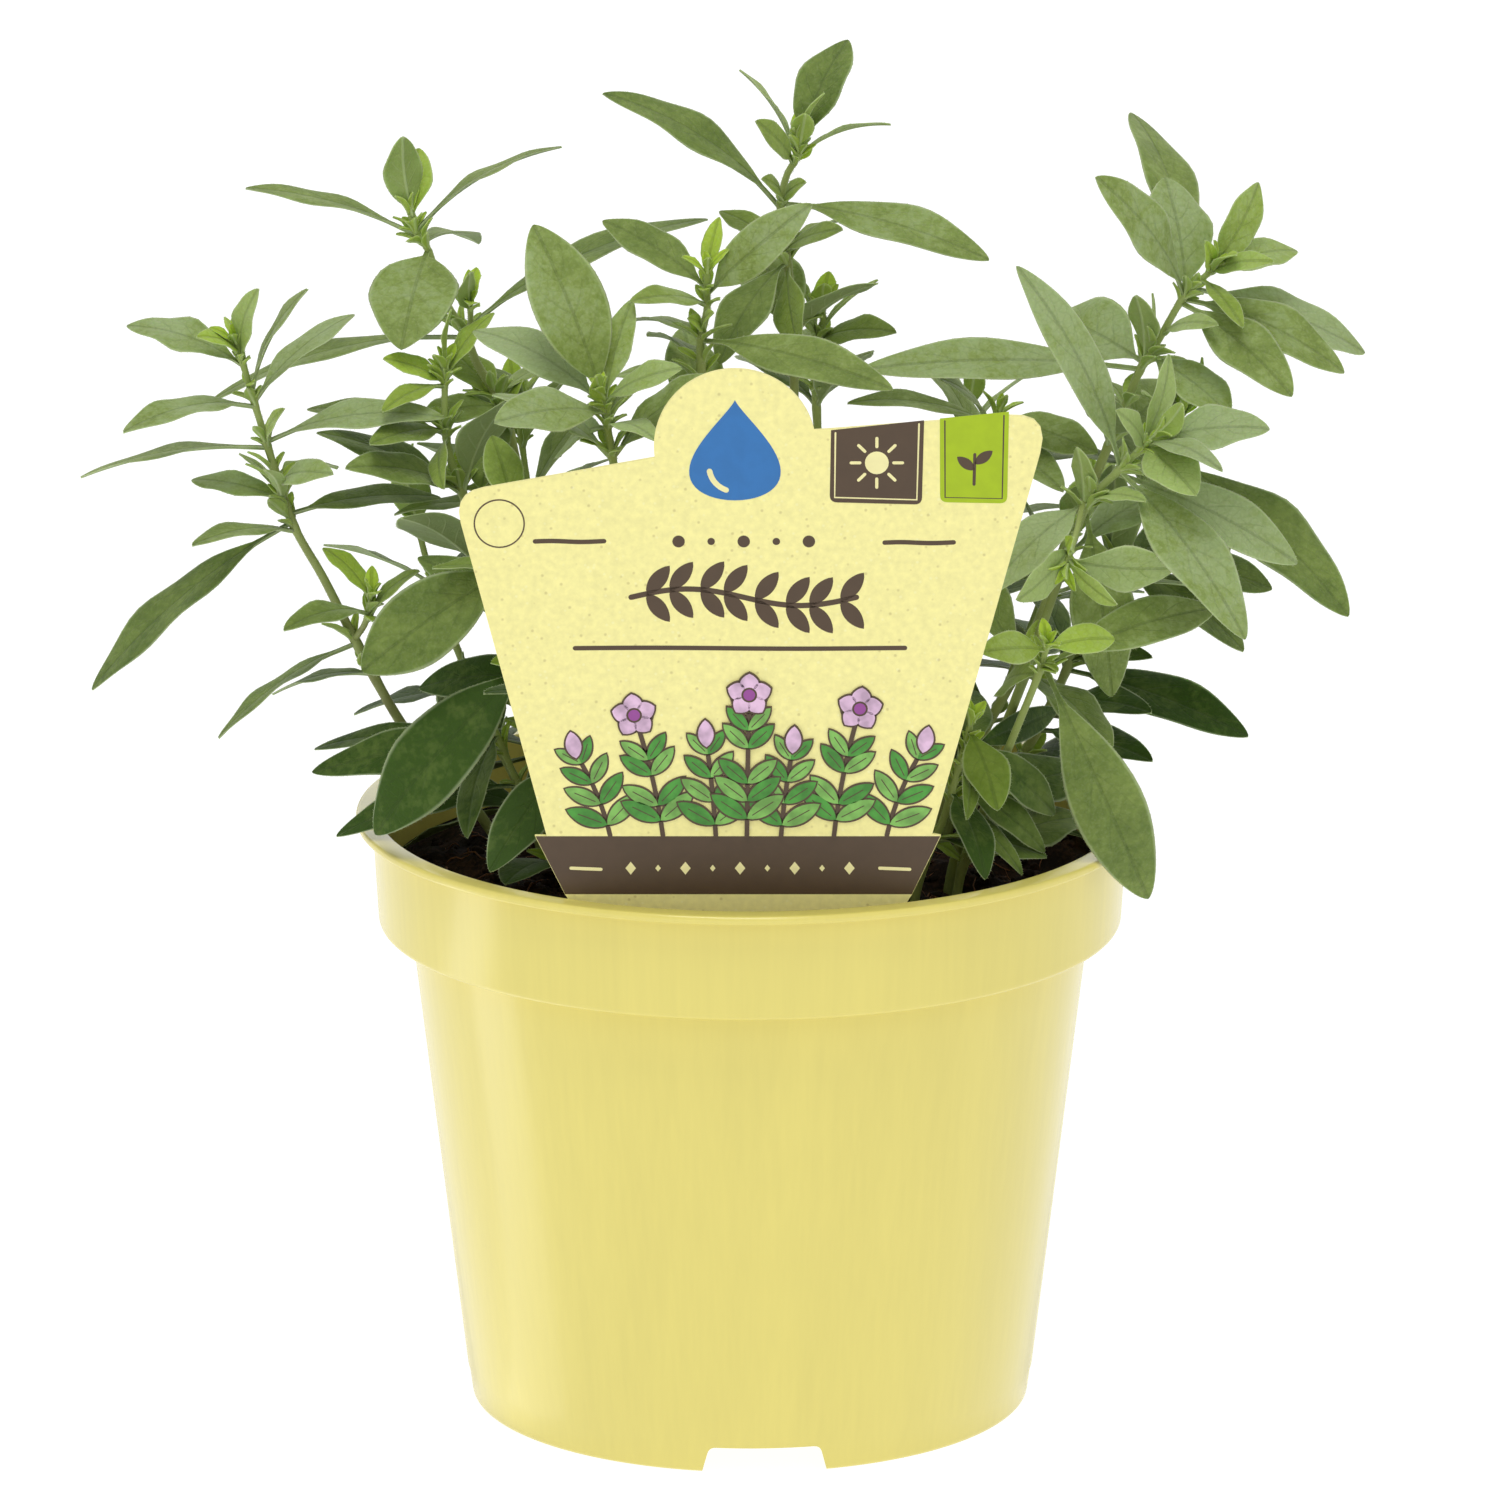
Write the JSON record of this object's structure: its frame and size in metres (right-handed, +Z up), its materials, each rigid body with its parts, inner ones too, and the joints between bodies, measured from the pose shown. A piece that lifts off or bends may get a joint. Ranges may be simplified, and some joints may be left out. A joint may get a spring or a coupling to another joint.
{
  "type": "potted mexican oregano",
  "caption": "Bushy herb with opposite elliptic leaves on upright square stems, in soil in a round tapered plastic nursery pot with a stuck-in plant label.",
  "frame": {"origin": "level with the pot's foot, under the middle of the whole plant's box; the pot's axis is 4.5 mm towards +X from it", "axes": "+Z up, -Y towards the label at the front, +X to the right when facing the label"},
  "size_m": [0.211, 0.13, 0.226],
  "materials": {
    "pot_plastic": "satin injection-moulded polypropylene, pale yellow",
    "potting_soil": "moist dark peat potting soil, crumbly",
    "label_card": "printed plastic card, pale yellow with brown band",
    "foliage": "living leaf, soft and finely hairy, grey-green to bright green"
  },
  "bodies": {
    "root": {"pot": "pot_plastic", "soil": "potting_soil", "label": "label_card", "shoot_left_outer": "foliage", "shoot_upper_left": "foliage", "shoot_left_inner": "foliage", "shoot_mid_left": "foliage", "shoot_middle": "foliage", "shoot_tallest": "foliage", "shoot_small_behind": "foliage", "shoot_upper_right": "foliage", "shoot_right_front": "foliage", "shoot_right_low": "foliage", "shoot_right_back": "foliage", "shoot_mid_right": "foliage", "shoot_left_low": "foliage", "shoot_left_rim": "foliage", "shoot_right_rim": "foliage", "shoot_back_1": "foliage", "shoot_back_2": "foliage", "shoot_back_3": "foliage", "shoot_back_4": "foliage", "shoot_back_5": "foliage", "shoot_back_6": "foliage", "shoot_front_1": "foliage", "shoot_front_2": "foliage"}
  },
  "joints": []
}
